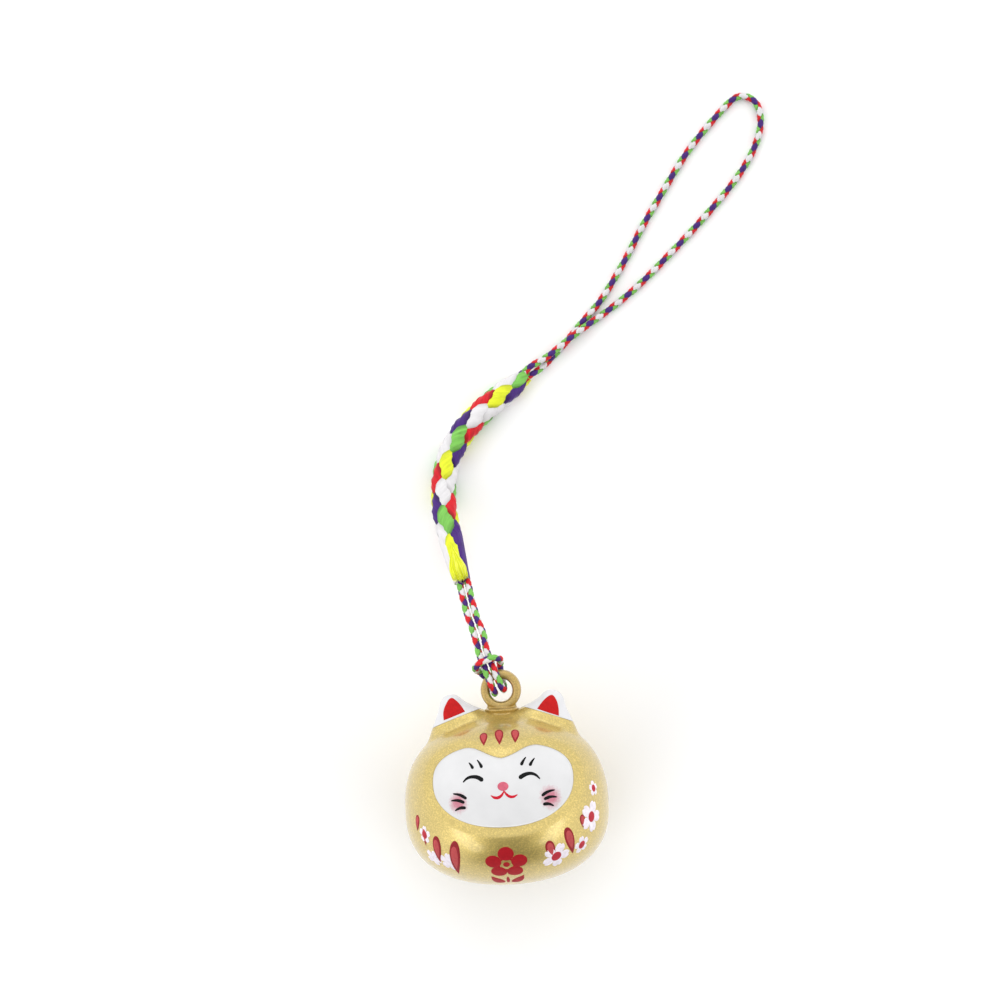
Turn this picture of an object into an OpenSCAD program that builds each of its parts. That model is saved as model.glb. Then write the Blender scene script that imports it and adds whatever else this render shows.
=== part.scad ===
// Cat-shaped daruma bell on a braided netsuke strap, in millimetres.
// The bell lies on its back on z = 0 with its face to +Z and its ring to +Y.
// The origin is under the middle of the bell: the bell's own box is centred on it in X and Y.

/* [Bell body] */
// Width of the bell across its belly
body_w = 25; // [22:0.5:30]
// Height from the widest level down to the bottom
lower_h = 9.2; // [9:0.1:10.5]
// Height from the widest level up to the crown
upper_h = 11; // [10.5:0.1:12]
// Fullness of the profile, where 2 is an ellipse and more is boxier
fullness = 2.4; // [2.2:0.05:2.6]
// Wall thickness of the pressed shells
wall = 0.6; // [0.5:0.05:0.8]

/* [Sound slit] */
// Length of the slit between the centres of its end holes
slit_len = 12; // [8:0.5:14]
// Width of the slit
slit_w = 1.2; // [0.8:0.1:2]
// Radius of the round end holes
slit_end_r = 1.4; // [1:0.1:1.8]
// Radius of the loose pellet
pellet_r = 2; // [1.5:0.1:2]

/* [Face panel] */
// Width of the face panel
face_w = 16.9; // [14:0.1:18]
// Height of the panel's widest level above the bell's widest level
face_level = 4.3; // [3:0.1:5]
// Rise of the panel from its widest level to its lobes, without the notch
face_rise = 4.4; // [4:0.1:5]
// Drop of the panel from its widest level to its lower edge
face_drop = 5.15; // [4:0.05:6]
// Depth of the notch between the two lobes
notch_depth = 1.55; // [1:0.05:3]
// Half width of the notch, from its middle to the top of a lobe
notch_half_w = 4.6; // [3:0.1:6]
// How far the panel lies below the gold around it
face_recess = 0.35; // [0.2:0.05:0.4]
// Thickness of the face panel
face_t = 0.6; // [0.4:0.05:0.8]

/* [Ears] */
// Distance of each ear's tip from the bell's axis
ear_x = 6.15; // [5:0.05:7]
// Height of the ears' tips above the widest level
ear_top = 13.9; // [13:0.05:15]
// Radius of each ear's rounded tip
ear_tip_r = 1.3; // [0.8:0.05:1.5]
// Slope of the edge between a white cap and its gold base
cap_slope = 19.3; // [15:0.1:25]
// Lean of that edge, higher in front than behind
cap_lean = 7; // [0:1:10]

/* [Hanger ring] */
// Outer radius of the ring
ring_r = 2.5; // [2.3:0.1:3]
// Radius of the ring's hole
ring_hole_r = 1.4; // [1.3:0.05:1.6]
// Thickness of the ring from front to back
ring_t = 1.6; // [1.2:0.1:1.7]
// Height of the ring's centre above the widest level
ring_level = 14.4; // [14.2:0.1:15]
// Radius of the collar under the ring
collar_r = 2.05; // [1.8:0.05:2.1]

/* [Strap] */
// Diameter of the thin braided cord
cord_d = 0.9; // [0.8:0.02:0.92]
// Diameter of the thick braided sleeve
sleeve_d = 3.4; // [3:0.1:3.4]
// Lean of the hitch on the ring, to the left of the bell's axis
hitch_lean = 20; // [18:1:22]
// How far the hitch sits to the left of the ring's centre
hitch_shift = 0.25; // [0:0.05:0.4]

/* [Hidden] */
$fn = 64;

body_r = body_w / 2;
axis_z = body_r;
// The widest level lies this far along Y, so that the bell with its ring is centred on the origin.
widest_y = (lower_h - ring_level - ring_r) / 2;
ring_y = widest_y + ring_level;
shank_r = 1.4;
flange_r = 2.1;
flange_t = 0.5;
pedestal_w = 3.5;
pedestal_t = 1.4;
pellet_gap = 0.03;
// The slit's cutter starts this far below the bell, and is this tall.
slit_start = 1;
slit_depth = 4;
// Fullness of the face panel's outline above and below its widest level, where 2 is an ellipse.
face_power_up = 2.4;
face_power_down = 2.2;
// Share of the notch that is a smooth wave; the rest comes to a point.
notch_wave = 0.8;
// Each ear spans its tip and two balls inside the bell, given as across, up and radius.
ear_root = [6.8, 8.8, 2.2];
ear_shoulder = [3.9, 10.7, 1.8];
// Where the edge of a white cap crosses the inner end of its ear, as across and up.
cap_edge = [2.6, 12.2];
profile_step = 7.5;
outline_step = 7.5;
reach = 40;

gold = [0.80, 0.66, 0.36];
white = [0.95, 0.95, 0.96];
steel = [0.62, 0.63, 0.65];
red = [0.86, 0.10, 0.15];
purple = [0.33, 0.16, 0.53];
yellow = [0.87, 0.91, 0.22];

// The hitch, along one strand, as [across, outward, toward the face] from the ring's centre.
// It comes down in front of the ring wall, goes through the hole and up behind the wall,
// turns forward round its own left side, crosses in front of both legs, and returns the same way.
hitch_half = [
  [-0.5, 5.0, 0.0], [-0.5, 4.0, 0.5], [-0.5, 3.1, 1.15], [-0.5, 2.2, 1.35], [-0.52, 1.25, 1.35],
  [-0.55, 0.3, 0.95], [-0.6, -0.1, 0.0], [-0.7, 0.3, -0.95], [-0.85, 1.25, -1.4],
  [-1.05, 2.2, -1.4], [-1.35, 2.95, -1.0], [-1.6, 3.4, 0.0], [-1.4, 3.85, 1.1], [-0.7, 4.1, 1.7]
];
hitch_middle = [0, 4.15, 1.8];
// The two legs between the hitch and the sleeve.
left_leg = [
  [-4.75, 24.2, 7.3], [-4.4, 22.5, 8.3], [-4.1, 21.1, 9.1], [-3.7, 19.6, 10.0], [-3.2, 18.1, 10.9],
  [-2.8, 16.7, 11.7]
];
right_leg = [
  [-1.75, 17, 11.7], [-2.2, 18.4, 10.9], [-2.7, 19.8, 10.0], [-3.1, 21.3, 9.1], [-3.4, 22.7, 8.3],
  [-3.75, 24.4, 7.3]
];
// The thick sleeve: down from the ring's height to the table, then in an S.
sleeve_route = [
  [-4.3, 23.9, 7.5], [-5.0, 26.5, 6.1], [-5.6, 29.1, 4.7], [-6.2, 31.9, 3.3], [-6.4, 34.7, 2.2],
  [-6.0, 37.9, 1.8], [-4.8, 40.9, 1.75], [-2.9, 43.4, 1.75], [-0.35, 45.7, 1.7], [2.3, 47.65, 1.6],
  [4.9, 49.6, 1.4]
];
sleeve_girth = [0.66, 0.84, 0.96, 1, 1, 1, 1, 1, 1, 1, 0.6];
// The finger loop: over its own other end, out along the right side, back along the left.
loop_route = [
  [5.5, 50.6, 1.7], [6.9, 51.3, 1.6], [9.3, 52.9, 1.4], [11.8, 54.7, 1.35], [14.4, 56.4, 0.7],
  [17.1, 58.2, 0.5], [20.2, 60.6, 0.5], [23.4, 63.5, 0.5], [26.6, 66.5, 0.5], [29.6, 69.5, 0.5],
  [32.2, 72.3, 0.5], [34.4, 75.2, 0.5], [35.9, 78.1, 0.5], [36.4, 80.8, 0.5], [35.6, 83.0, 0.5],
  [33.95, 83.6, 0.5], [32.0, 82.4, 0.5], [29.75, 80.15, 0.5], [27.25, 77.35, 0.5], [24.85, 74.05, 0.5],
  [22.65, 70.75, 0.5], [20.45, 67.35, 0.5], [18.5, 64.0, 0.5], [16.5, 60.9, 0.5], [14.7, 58.4, 0.5],
  [12.5, 56.1, 0.5], [10.35, 53.75, 0.5], [8.2, 51.6, 0.55], [7.2, 50.7, 0.75], [6.1, 49.9, 1.1]
];

// ---- shapes on the bell's own axis: local Z is up the bell, local -Y is toward its face ----

module on_axis() {
  translate([0, widest_y, axis_z])
    rotate([-90, 0, 0])
      children();
}

// Half profile of the bell's outside, moved inward by depth.
function body_curve(depth) = [
  for (a = [-90:profile_step:90])
    let (h = (a < 0 ? lower_h : upper_h) - depth)
      [(body_r - depth) * pow(cos(a), 2 / fullness), sign(a) * h * pow(abs(sin(a)), 2 / fullness)]
];

module body_solid(depth) {
  rotate_extrude()
    polygon(body_curve(depth));
}

// Heart-topped oval: fuller than an ellipse, with a notch above.
function notch_share(x) =
  let (u = min(1, abs(x) / notch_half_w))
    notch_wave * (1 + cos(180 * u)) / 2 + (1 - notch_wave) * pow(1 - u, 2);
function face_point(a) =
  let (
    n = a < 180 ? face_power_up : face_power_down,
    x = face_w / 2 * sign(cos(a)) * pow(abs(cos(a)), 2 / n),
    y = pow(abs(sin(a)), 2 / n)
  )
    [x, a < 180 ? face_rise * y - notch_depth * notch_share(x) * y : -face_drop * y];

module face_prism() {
  translate([0, 0, face_level])
    rotate([90, 0, 0])
      linear_extrude(reach)
        polygon([for (a = [0:outline_step:360 - outline_step]) face_point(a)]);
}

// Whole ear before it is divided into a gold base and a white cap.
module ear_blank(side) {
  hull() {
    translate([side * ear_x, 0, ear_top - ear_tip_r])
      sphere(ear_tip_r, $fn = 32);
    for (ball = [ear_root, ear_shoulder])
      translate([side * ball[0], 0, ball[1]])
        sphere(ball[2], $fn = 32);
  }
}

// Everything above the slanting edge of one ear's cap.
module above_cap_edge(side) {
  translate([side * cap_edge[0], 0, cap_edge[1]])
    rotate([-cap_lean, side * cap_slope, 0])
      translate([-reach / 2, -reach / 2, 0])
        cube([reach, reach, reach]);
}

// Cut from below the bell up into its cavity.
module slit() {
  translate([0, 0, -lower_h - slit_start]) {
    translate([-slit_len / 2, -slit_w / 2, 0])
      cube([slit_len, slit_w, slit_depth]);
    for (side = [-1, 1])
      translate([side * slit_len / 2, 0, 0])
        cylinder(r = slit_end_r, h = slit_depth);
  }
}

module whole_shell() {
  difference() {
    union() {
      body_solid(0);
      for (side = [-1, 1])
        difference() {
          ear_blank(side);
          above_cap_edge(side);
          cylinder(r = collar_r, h = reach);
        }
    }
    body_solid(wall);
    cylinder(r = shank_r, h = reach);
    slit();
  }
}

// The shell on one side of the plane through its axis: -1 is the face side, 1 the back.
module shell_half(side) {
  intersection() {
    whole_shell();
    translate([-reach / 2, side < 0 ? -reach : 0, -reach / 2])
      cube([reach, reach, reach]);
  }
}

module front_shell() {
  color(gold)
    on_axis()
      difference() {
        shell_half(-1);
        face_prism();
      }
}

module back_shell() {
  color(gold)
    on_axis()
      shell_half(1);
}

module face_panel() {
  color(white)
    on_axis()
      intersection() {
        difference() {
          body_solid(face_recess);
          body_solid(face_recess + face_t);
        }
        face_prism();
      }
}

module ear_cap(side) {
  on_axis()
    intersection() {
      ear_blank(side);
      above_cap_edge(side);
    }
}

module left_ear() {
  color(white)
    ear_cap(-1);
}

module right_ear() {
  color(white)
    ear_cap(1);
}

// Section of the ring wall: a rounded rectangle, as a superellipse of power 3.
function ring_section() = [
  for (a = [0:15:345])
    [
      (ring_r + ring_hole_r) / 2 + (ring_r - ring_hole_r) / 2 * sign(cos(a)) * pow(abs(cos(a)), 2 / 3),
      ring_t / 2 * sign(sin(a)) * pow(abs(sin(a)), 2 / 3)
    ]
];

// Across the bell's axis, so along the front-to-back direction of the ring.
module front_to_back() {
  translate([0, 0, ring_level])
    rotate([90, 0, 0])
      children();
}

module hanger_ring() {
  collar_top = ring_level - ring_r + 0.45;
  color(gold)
    on_axis() {
      front_to_back()
        rotate_extrude()
          polygon(ring_section());
      // Pedestal between the collar and the lower part of the ring.
      difference() {
        translate([-pedestal_w / 2, -pedestal_t / 2, collar_top - 0.1])
          cube([pedestal_w, pedestal_t, 0.75]);
        front_to_back()
          cylinder(r = (ring_r + ring_hole_r) / 2, h = reach, center = true);
      }
      // Collar with a lip above a narrower waist.
      difference() {
        rotate_extrude()
          polygon([
            [0, upper_h - 1], [collar_r, upper_h - 1], [collar_r - 0.2, upper_h + 0.3],
            [collar_r - 0.2, collar_top - 0.4], [collar_r, collar_top - 0.3],
            [collar_r, collar_top - 0.1], [collar_r - 0.15, collar_top], [0, collar_top]
          ]);
        body_solid(0);
      }
      // Shank through the crown, and the flange that the two shells trap.
      translate([0, 0, upper_h - wall - flange_t])
        cylinder(r = shank_r, h = wall + flange_t + 0.1);
      translate([0, 0, upper_h - wall - flange_t - 0.1])
        cylinder(r = flange_r, h = flange_t);
    }
}

module clapper_pellet() {
  color(steel)
    translate([0, widest_y, wall + pellet_r + pellet_gap])
      sphere(pellet_r);
}

// ---- cords: a tube swept along a route, with eight sides ----

sides = 8;

function unit(v) = v / norm(v);
function tangents(route) = [
  for (i = [0:len(route) - 1])
    unit(route[min(i + 1, len(route) - 1)] - route[max(i - 1, 0)])
];
// One normal for each tangent, each carried over from the one before without twist.
function normals(tans, previous, i = 0) =
  i == len(tans)
  ? []
  : let (n = unit(previous - (previous * tans[i]) * tans[i]))
      concat([n], normals(tans, n, i + 1));

module tube(route, radii) {
  tans = tangents(route);
  norms = normals(tans, [0.6, -0.5, 0.62]);
  last = len(route) - 1;
  points = [
    for (i = [0:last])
      for (k = [0:sides - 1])
        let (a = 360 * k / sides)
          route[i] + radii[i] * (cos(a) * norms[i] + sin(a) * cross(tans[i], norms[i]))
  ];
  walls = [
    for (i = [0:last - 1])
      for (k = [0:sides - 1])
        let (a = i * sides + k, b = i * sides + (k + 1) % sides)
          each [[a, a + sides, b + sides], [a, b + sides, b]]
  ];
  start_cap = [[for (k = [0:sides - 1]) k]];
  end_cap = [[for (k = [sides - 1:-1:0]) last * sides + k]];
  polyhedron(points, concat(walls, start_cap, end_cap));
}

// From the hitch's own directions to the bell's frame.
function hitch_point(p) = [
  (p[0] - hitch_shift) * cos(hitch_lean) - p[1] * sin(hitch_lean),
  ring_y + (p[0] - hitch_shift) * sin(hitch_lean) + p[1] * cos(hitch_lean),
  axis_z + p[2]
];
function mirrored(points) = [
  for (i = [len(points) - 1:-1:0])
    [-points[i][0], points[i][1], points[i][2]]
];
function same_radius(route, r) = [for (p = route) r];

neck_route = concat(
  left_leg,
  [for (p = concat(hitch_half, [hitch_middle], mirrored(hitch_half))) hitch_point(p)],
  right_leg
);

module neck_cord() {
  color(red)
    tube(neck_route, same_radius(neck_route, cord_d / 2));
}

module braided_sleeve() {
  color(yellow)
    tube(sleeve_route, sleeve_d / 2 * sleeve_girth);
}

module loop_cord() {
  color(purple)
    tube(loop_route, same_radius(loop_route, cord_d / 2));
}

front_shell();
back_shell();
face_panel();
left_ear();
right_ear();
hanger_ring();
clapper_pellet();
neck_cord();
braided_sleeve();
loop_cord();
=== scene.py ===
"""Looks, light and camera of a cat-shaped daruma bell on a braided strap.

Shapes are worked out in millimetres of the CAD model's frame and stored in metres.
"""

import math

import bmesh
import bpy
import numpy as np
from mathutils import Matrix, Vector
from mathutils.bvhtree import BVHTree


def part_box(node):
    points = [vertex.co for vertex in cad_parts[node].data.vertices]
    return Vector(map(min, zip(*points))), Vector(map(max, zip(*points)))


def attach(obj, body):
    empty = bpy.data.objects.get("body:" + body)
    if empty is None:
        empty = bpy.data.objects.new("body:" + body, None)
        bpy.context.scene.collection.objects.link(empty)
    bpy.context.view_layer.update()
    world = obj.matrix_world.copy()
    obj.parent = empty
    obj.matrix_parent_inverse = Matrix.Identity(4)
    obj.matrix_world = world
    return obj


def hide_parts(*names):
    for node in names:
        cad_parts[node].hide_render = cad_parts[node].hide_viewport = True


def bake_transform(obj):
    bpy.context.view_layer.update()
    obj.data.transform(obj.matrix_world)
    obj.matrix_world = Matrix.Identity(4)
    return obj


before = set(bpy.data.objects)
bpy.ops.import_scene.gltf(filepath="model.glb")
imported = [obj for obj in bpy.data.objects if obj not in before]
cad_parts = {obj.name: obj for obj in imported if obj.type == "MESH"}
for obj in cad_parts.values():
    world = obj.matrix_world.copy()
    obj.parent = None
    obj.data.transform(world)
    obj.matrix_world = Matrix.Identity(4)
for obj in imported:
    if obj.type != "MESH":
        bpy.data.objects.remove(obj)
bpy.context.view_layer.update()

MM = 0.001


# ---- lines and numbers ----


def run_length(line):
    """Length along a line up to each of its points."""
    return np.concatenate([[0], np.cumsum(np.linalg.norm(np.diff(line, axis=0), axis=1))])


def sampled(values, arc, at):
    """Rows of values that are given at the lengths arc, read at other lengths."""
    return np.stack([np.interp(at, arc, column) for column in values.T], -1)


def spline(points, step):
    """Evenly spaced points on the natural cubic spline through the given points."""
    p = np.array(points, float)
    gap = np.linalg.norm(np.diff(p, axis=0), axis=1)
    at = np.concatenate([[0], np.cumsum(gap)])
    last = len(p) - 1
    rows, sides = np.eye(last + 1), np.zeros_like(p)
    for i in range(1, last):
        rows[i, i - 1 : i + 2] = gap[i - 1], 2 * (gap[i - 1] + gap[i]), gap[i]
        sides[i] = 6 * ((p[i + 1] - p[i]) / gap[i] - (p[i] - p[i - 1]) / gap[i - 1])
    bend = np.linalg.solve(rows, sides)
    u = np.linspace(0, at[-1], int(at[-1] / step) * 8)
    i = np.clip(np.searchsorted(at, u, "right") - 1, 0, last - 1)
    h, x = gap[i, None], (u - at[i])[:, None]
    y = h - x
    dense = (bend[i] * y**3 + bend[i + 1] * x**3) / (6 * h)
    dense += (p[i] / h - bend[i] * h / 6) * y + (p[i + 1] / h - bend[i + 1] * h / 6) * x
    arc = run_length(dense)
    return sampled(dense, arc, np.linspace(0, arc[-1], round(arc[-1] / step) + 1))


def unit(vectors):
    return vectors / np.linalg.norm(vectors, axis=-1, keepdims=True)


def smooth_step(x):
    x = np.clip(x, 0, 1)
    return x * x * (3 - 2 * x)


def full_turn(count):
    """Angles spaced evenly round a full turn."""
    return np.linspace(0, 2 * math.pi, count, endpoint=False)


def signed_power(x, power):
    return np.sign(x) * np.abs(x) ** power


def superellipse(half_w, half_h, power_w, power_h, count):
    """Places across and up of points round an oval; the lower its powers, the squarer it is."""
    a = full_turn(count)
    return half_w * signed_power(np.cos(a), power_w), half_h * signed_power(np.sin(a), power_h)


# ---- meshes ----


def mesh_object(name, points, faces, materials, uvs=None, slots=None, crease=40):
    """A smooth-shaded mesh from points in millimetres, sharp where it bends by over crease degrees."""
    data = bpy.data.meshes.new(name)
    data.from_pydata((np.asarray(points) * MM).tolist(), [], faces)
    for material in materials:
        data.materials.append(material)
    if slots is not None:
        data.polygons.foreach_set("material_index", np.asarray(slots, np.int32))
    if uvs is not None:
        corners = np.zeros(len(data.loops), np.int32)
        data.loops.foreach_get("vertex_index", corners)
        layer = data.uv_layers.new(name="UVMap")
        layer.data.foreach_set("uv", np.asarray(uvs, np.float32)[corners].ravel())
    data.polygons.foreach_set("use_smooth", np.ones(len(data.polygons), bool))
    data.validate()
    data.update()
    data.set_sharp_from_angle(angle=math.radians(crease))
    made = bpy.data.objects.new(name, data)
    bpy.context.scene.collection.objects.link(made)
    return made


def ring_faces(rows, count, start=0, closed=False, flipped=False):
    """Faces between each ring of points and the next, and from the last to the first if closed."""
    faces = []
    for row in range(rows if closed else rows - 1):
        a, b = start + row * count, start + (row + 1) % rows * count
        for k in range(count):
            near = (k + 1) % count
            faces.append((a + k, b + k, b + near, a + near))
    return [(p, s, r, q) for p, q, r, s in faces] if flipped else faces


def tube_faces(rows, count, flipped=False):
    """Faces round rings of points, with one more face over each end."""
    first = tuple(range(count))
    last = tuple(range((rows - 1) * count, rows * count))
    ends = [first[::-1], last] if flipped else [first, last[::-1]]
    return ring_faces(rows, count, flipped=flipped) + ends


def joined(shapes):
    """The points and faces of many shapes as one."""
    points, faces = [], []
    for p, f in shapes:
        faces += [tuple(len(points) + k for k in face) for face in f]
        points += np.asarray(p, float).tolist()
    return points, faces


def coordinates(vertices):
    return np.array([v.co for v in vertices]).reshape(-1, 3)


def face_corners(bm):
    """Each face's vertex numbers."""
    bm.verts.index_update()
    return [tuple(v.index for v in f.verts) for f in bm.faces]


def stand_in(node_name):
    """Hides the CAD node that a piece stands in for."""
    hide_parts(node_name)


# ---- materials ----


def colour(red, green, blue):
    """Linear colour of a screen colour given from 0 to 255."""
    parts = [c / 255 for c in (red, green, blue)]
    return tuple(c / 12.92 if c < 0.04 else ((c + 0.055) / 1.055) ** 2.4 for c in parts) + (1,)


def scaled(rgba, share):
    return tuple(c * share for c in rgba[:3]) + (1,)


def fill(target, inputs):
    """Links each of a node's named or numbered inputs to a socket, or sets it to a value."""
    for key, value in inputs.items():
        if isinstance(value, bpy.types.NodeSocket):
            target.id_data.links.new(value, target.inputs[key])
        else:
            target.inputs[key].default_value = value


def node(tree, kind, inputs, output=0, **settings):
    """Adds a node with its inputs and settings, and returns one of its outputs."""
    made = tree.nodes.new("ShaderNode" + kind)
    for name, value in settings.items():
        setattr(made, name, value)
    fill(made, inputs)
    return made.outputs[output]


def new_material(name):
    """A material, its tree, its shader and the outputs of its texture coordinates."""
    made = bpy.data.materials.new(name)
    made.use_nodes = True
    tree = made.node_tree
    return made, tree, tree.nodes["Principled BSDF"], tree.nodes.new("ShaderNodeTexCoord").outputs


def noise(tree, place, scale, detail=2.0, roughness=0.5):
    inputs = {"Vector": place, "Scale": scale, "Detail": detail, "Roughness": roughness}
    return node(tree, "TexNoise", inputs, "Fac")


def mixed(tree, share, low, high):
    """A colour between low and high."""
    return node(tree, "Mix", {0: share, 6: low, 7: high}, 2, data_type="RGBA")


def mapped(tree, value, low, high, to_low=0.0, to_high=1.0, **settings):
    """Value stretched so that low becomes to_low and high becomes to_high."""
    inputs = {"Value": value, "From Min": low, "From Max": high, "To Min": to_low, "To Max": to_high}
    return node(tree, "MapRange", inputs, **settings)


def multiply_add(tree, value, factor, more):
    """Value times factor, plus more."""
    return node(tree, "Math", {0: value, 1: factor, 2: more}, operation="MULTIPLY_ADD")


def toned(tree, value, edges, rgba, shares):
    """A colour scaled by the first share at the lower edge of value, by the second at the upper."""
    return mixed(tree, mapped(tree, value, *edges), *(scaled(rgba, share) for share in shares))


def bump(tree, height, strength, depth):
    """A normal from a height; depth is in metres."""
    return node(tree, "Bump", {"Height": height, "Strength": strength, "Distance": depth})


def yarn(name, rgba, tone=0.5, edge_shade_tone=0.3):
    """Glossy rayon: fine filaments along the strand, lighter and darker, with a soft sheen.

    The strand's colour is darkened toward its edges, where it dips under its neighbours: painted
    shade. tone is how much the filaments differ, and the last argument how bright the painted shade
    leaves the edges."""
    made, tree, shader, place = new_material(name)
    stretched = node(tree, "Mapping", {"Vector": place["UV"], "Scale": (0.5, 4.5, 1)})
    streaks = noise(tree, stretched, 1.0, 4.0, 0.6)
    streaked = toned(tree, streaks, (0.3, 0.7), rgba, (1 - tone, 1 + 0.4 * tone))
    patches = mapped(tree, noise(tree, place["Object"], 900.0), 0.35, 0.75)
    # Painted shade: the colour darkens toward the strand's edges, where it dips under its neighbours.
    across = node(tree, "SeparateXYZ", {0: place["UV"]}, "Y")
    edge = mapped(tree, node(tree, "Math", {0: across}, operation="ABSOLUTE"), 0.55, 1.0)
    shaded = mixed(tree, patches, streaked, rgba)
    look = {
        "Base Color": mixed(tree, edge, shaded, scaled(rgba, edge_shade_tone)),
        "Roughness": 0.45,
        "Specular IOR Level": 0.3,
        "Sheen Weight": 0.03,
        "Sheen Roughness": 0.4,
        "Normal": bump(tree, streaks, 0.8, 0.0001),
    }
    fill(shader, look)
    return made


def gold_paint(name, rgba, roughness):
    """Satin metallic paint: fine bright flakes in a clear coat, over a slightly wavy pressing."""
    made, tree, shader, place = new_material(name)
    flakes = node(tree, "TexVoronoi", {"Vector": place["Object"], "Scale": 7500}, "Color")
    bright, rough, raised = node(tree, "SeparateColor", {"Color": flakes}).node.outputs
    clouds = toned(tree, noise(tree, place["Object"], 5400.0), (0.35, 0.65), rgba, (0.91, 1.07))
    waves = noise(tree, place["Object"], 260.0)
    look = {
        "Base Color": mixed(tree, mapped(tree, bright, 0.55, 1.0), clouds, scaled(rgba, 1.3)),
        "Metallic": 0.7,
        "Roughness": mapped(tree, rough, 0.0, 1.0, roughness - 0.06, roughness + 0.08),
        "Coat Weight": 0.9,
        "Coat Roughness": 0.15,
        "Normal": bump(tree, multiply_add(tree, raised, 0.12, waves), 0.35, 0.00008),
    }
    fill(shader, look)
    return made


# A blush's grain, and the distances from its middle where it begins and is full, in its radii.
BLUSH_GRAIN = 0.9
BLUSH_EDGE = 1.62
BLUSH_FULL = 0.85


def enamel(name, rgba, blushes=(), blush=None):
    """Smooth enamel with the faint unevenness of hand-sprayed paint, and soft round blushes.

    Each of the blushes is a middle and a radius."""
    made, tree, shader, place = new_material(name)
    clouds = noise(tree, place["Object"], 420.0, 3.0)
    base = toned(tree, clouds, (0.3, 0.7), rgba, (0.96, 1.02))
    speckle = noise(tree, place["Object"], 3600.0, 3.0, 0.7)
    for middle, radius in blushes:
        ends = {0: place["Object"], 1: [c * MM for c in middle]}
        away = node(tree, "VectorMath", ends, "Value", operation="DISTANCE")
        grainy = multiply_add(tree, speckle, BLUSH_GRAIN * radius * MM, away)
        share = mapped(tree, grainy, BLUSH_EDGE * radius * MM, BLUSH_FULL * radius * MM)
        base = mixed(tree, share, base, blush)
    look = {
        "Base Color": base,
        "Roughness": 0.38,
        "Coat Weight": 0.25,
        "Coat Roughness": 0.12,
        "Normal": bump(tree, clouds, 0.25, 0.00005),
    }
    fill(shader, look)
    return made


def print_ink(name, rgba):
    """Thin pad-printed ink: slightly uneven cover and gloss."""
    made, tree, shader, place = new_material(name)
    cover = noise(tree, place["Object"], 2600.0, 3.0, 0.6)
    look = {
        "Base Color": toned(tree, cover, (0.35, 0.7), rgba, (0.86, 1.08)),
        "Roughness": 0.5,
        "Specular IOR Level": 0.15,
        "Normal": bump(tree, cover, 0.2, 0.00002),
    }
    fill(shader, look)
    return made


def steel_ball(name):
    """Rolled steel with faint scratches."""
    made, tree, shader, place = new_material(name)
    scratches = noise(tree, place["Object"], 3000.0, 4.0, 0.7)
    share = mapped(tree, scratches, 0.3, 0.7)
    look = {
        "Base Color": mixed(tree, share, colour(120, 122, 126), colour(176, 178, 182)),
        "Metallic": 1,
        "Roughness": 0.28,
        "Normal": bump(tree, scratches, 0.3, 0.00002),
    }
    fill(shader, look)
    return made


def white_table(name):
    """A plain matt white surface with a faint mottle."""
    made, tree, shader, place = new_material(name)
    share = mapped(tree, noise(tree, place["Object"], 30.0, 3.0), 0.3, 0.7)
    shade = mixed(tree, share, colour(248, 248, 249), colour(252, 252, 252))
    fill(shader, {"Base Color": shade, "Roughness": 0.7})
    return made


RED = yarn("red_yarn", colour(216, 20, 34))
GREEN = yarn("green_yarn", colour(124, 196, 86))
PURPLE = yarn("purple_yarn", colour(70, 30, 122))
WHITE = yarn("white_yarn", colour(226, 224, 226), 0.14, 0.72)
YELLOW = yarn("yellow_yarn", colour(228, 236, 44), 0.3, 0.5)
TUFT_YELLOWS = [
    yarn("bright_fibre", colour(238, 244, 44), 0.1),
    yarn("pale_fibre", colour(246, 250, 110), 0.1),
    yarn("deep_fibre", colour(216, 220, 26), 0.1),
]

# ---- camera ----

CAMERA_DISTANCE = 290
CAMERA_TURN = math.radians(3)
CAMERA_LEAN = math.radians(2)
LOOKED_AT = (1.11, 33.83, 12.5)


def add_camera():
    """Straight above, turned a little about the vertical and leaned a little to the right."""
    data = bpy.data.cameras.new("camera")
    data.lens = 85
    data.sensor_width = 36
    data.clip_start = 0.01
    back = Vector((math.sin(CAMERA_LEAN), 0, math.cos(CAMERA_LEAN)))
    across = Vector((math.cos(CAMERA_TURN), -math.sin(CAMERA_TURN), 0))
    across = (across - back * across.dot(back)).normalized()
    made = bpy.data.objects.new("camera", data)
    made.matrix_world = Matrix.Translation((Vector(LOOKED_AT) + back * CAMERA_DISTANCE) * MM) @ (
        Matrix((across, back.cross(across), back)).transposed().to_4x4()
    )
    bpy.context.scene.collection.objects.link(made)
    bpy.context.scene.camera = made


add_camera()

# ---- the bell's own places, from the CAD nodes ----

back_low, back_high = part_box("back_shell")
ring_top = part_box("hanger_ring")[1].y / MM
BODY_R = (back_high.x - back_low.x) / 2 / MM
AXIS_Z = back_high.z / MM
LOWER_H = 9.2
UPPER_H = 11
FULLNESS = 2.4
WALL = 0.6
WIDEST_Y = back_low.y / MM + LOWER_H
RING_R = 2.5
RING_Y = ring_top - RING_R

# ---- cord routes, in millimetres, as the CAD model's cords lie ----

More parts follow.
